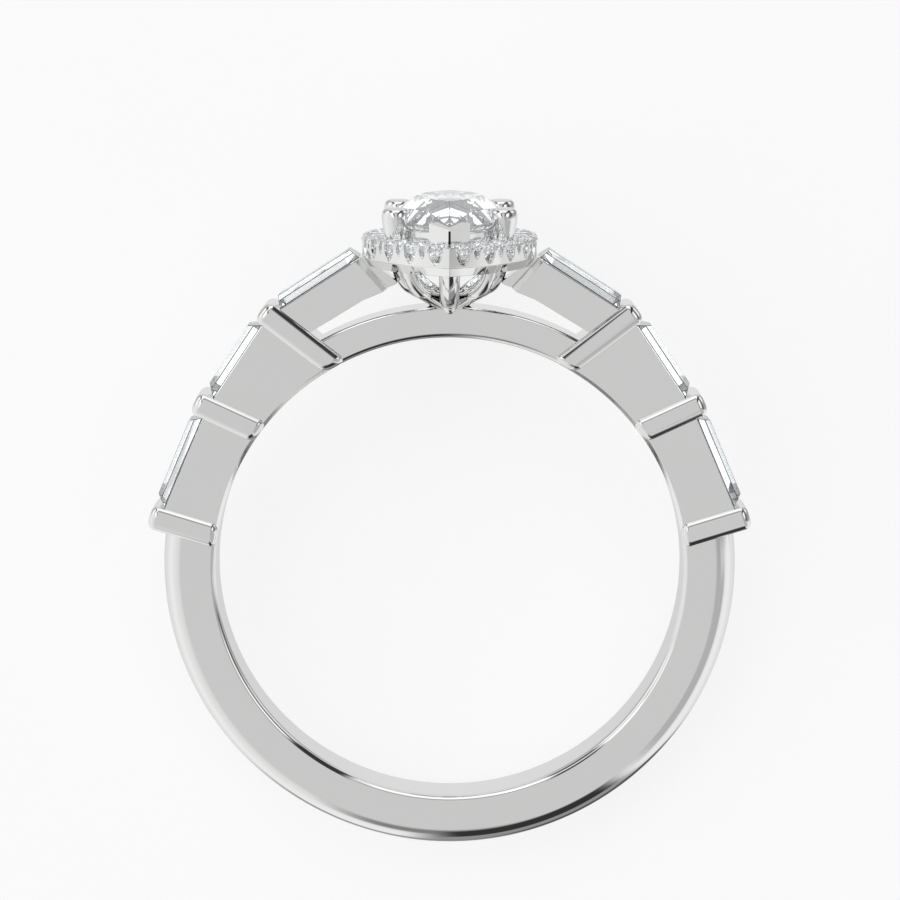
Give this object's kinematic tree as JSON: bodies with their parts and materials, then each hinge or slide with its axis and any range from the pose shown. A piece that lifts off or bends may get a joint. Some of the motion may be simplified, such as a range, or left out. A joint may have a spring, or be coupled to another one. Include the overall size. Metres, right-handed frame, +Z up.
{
  "type": "halo diamond ring",
  "caption": "Ring with bar-set baguettes on its shoulders and a raised marquise stone in prongs above a marquise halo of small round stones, lying on its side.",
  "frame": {"origin": "on the surface the ring lies on, under the middle of its bounding box", "axes": "+Y from the foot of the band to the head, +Z up from the surface, +X across the ring; the finger hole's axis leans 11.7 degrees from +Z because the ring rests on its halo"},
  "size_m": [0.0212, 0.0234, 0.0103],
  "materials": {
    "white_metal": "polished white gold",
    "diamond": "cut and polished"
  },
  "bodies": {
    "root": {"ring_mounting": "white_metal", "center_stone": "diamond", "baguette_left_1": "diamond", "baguette_left_2": "diamond", "baguette_left_3": "diamond", "baguette_right_1": "diamond", "baguette_right_2": "diamond", "baguette_right_3": "diamond", "halo_stone_01": "diamond", "halo_stone_02": "diamond", "halo_stone_03": "diamond", "halo_stone_04": "diamond", "halo_stone_05": "diamond", "halo_stone_06": "diamond", "halo_stone_07": "diamond", "halo_stone_08": "diamond", "halo_stone_09": "diamond", "halo_stone_10": "diamond", "halo_stone_11": "diamond", "halo_stone_12": "diamond", "halo_stone_13": "diamond", "halo_stone_14": "diamond", "halo_stone_15": "diamond", "halo_stone_16": "diamond", "halo_stone_17": "diamond", "halo_stone_18": "diamond", "halo_stone_19": "diamond", "halo_stone_20": "diamond", "halo_stone_21": "diamond", "halo_stone_22": "diamond"}
  },
  "joints": []
}
